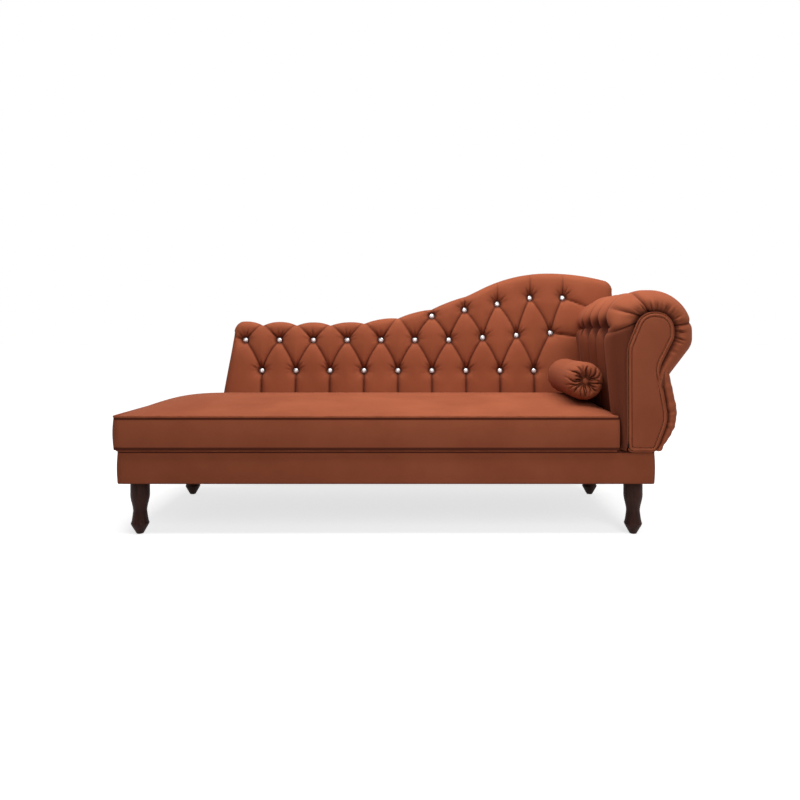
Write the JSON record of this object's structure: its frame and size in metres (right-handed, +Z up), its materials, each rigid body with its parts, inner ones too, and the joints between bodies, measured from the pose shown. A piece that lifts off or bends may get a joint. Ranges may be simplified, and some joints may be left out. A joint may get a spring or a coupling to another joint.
{
  "type": "recamier",
  "caption": "Upholstered recamier with a crowned seat, a diamond-tufted wave back with crystal buttons, one scroll arm, turned wooden legs and a loose bolster.",
  "frame": {"origin": "on the floor, under the middle of the overall box", "axes": "+X along the length, towards the scroll arm; -Y is the front; +Z is up"},
  "size_m": [1.85, 0.73, 0.8915],
  "materials": {
    "cover_cloth": "short terracotta suede velvet",
    "piping_cloth": "the same cloth, sewn over cord",
    "foam": "open-cell foam and wadding",
    "frame_wood": "planed softwood and plywood, bare",
    "leg_wood": "turned, dark brown stain, satin lacquer",
    "steel": "zinc plated",
    "button_metal": "polished",
    "crystal": "faceted, foil backed",
    "tuft_cord": "twisted nylon",
    "webbing": "woven elastic webbing",
    "dust_cloth": "black non-woven cloth"
  },
  "bodies": {
    "sofa": {"arm_battens": "frame_wood", "arm_belly_cover": "cover_cloth", "arm_belly_foam": "foam", "arm_bolts": "steel", "arm_facing": "cover_cloth", "arm_facing_welt": "piping_cloth", "arm_front_panel": "frame_wood", "arm_rear_panel": "frame_wood", "arm_roll_cover": "cover_cloth", "arm_roll_foam": "foam", "arm_sill": "frame_wood", "arm_tuft_buttons": "cover_cloth", "back_battens": "frame_wood", "back_board": "frame_wood", "back_bolts": "steel", "back_border": "cover_cloth", "back_foam": "foam", "back_post_left": "frame_wood", "back_post_mid_left": "frame_wood", "back_post_mid_right": "frame_wood", "back_post_right": "frame_wood", "back_rear_cover": "cover_cloth", "back_tufted_cover": "cover_cloth", "base_band_front": "cover_cloth", "base_band_left": "cover_cloth", "base_band_rear": "cover_cloth", "base_band_right": "cover_cloth", "base_welt": "piping_cloth", "corner_blocks": "frame_wood", "cross_rail_1": "frame_wood", "cross_rail_2": "frame_wood", "cross_rail_3": "frame_wood", "dust_cover": "dust_cloth", "front_rail": "frame_wood", "left_rail": "frame_wood", "leg_front_left": "leg_wood", "leg_front_right": "leg_wood", "leg_hanger_bolts": "steel", "leg_rear_left": "leg_wood", "leg_rear_right": "leg_wood", "leg_tee_nuts": "steel", "rear_rail": "frame_wood", "right_rail": "frame_wood", "seat_boxing": "cover_cloth", "seat_foam": "foam", "seat_top_cover": "cover_cloth", "seat_welt": "piping_cloth", "tuft_button_cups": "button_metal", "tuft_cords": "tuft_cord", "tuft_crystals": "crystal", "tuft_washers": "steel", "webbing_straps": "webbing"},
    "bolster": {"bolster_buttons": "cover_cloth", "bolster_core": "foam", "bolster_cover": "cover_cloth"}
  },
  "joints": [
    {"name": "bolster_lift", "type": "slide", "parent": "sofa", "child": "bolster", "axis": [-0.2588, 0, 0.9659], "range_m": [0, 0.6]}
  ]
}
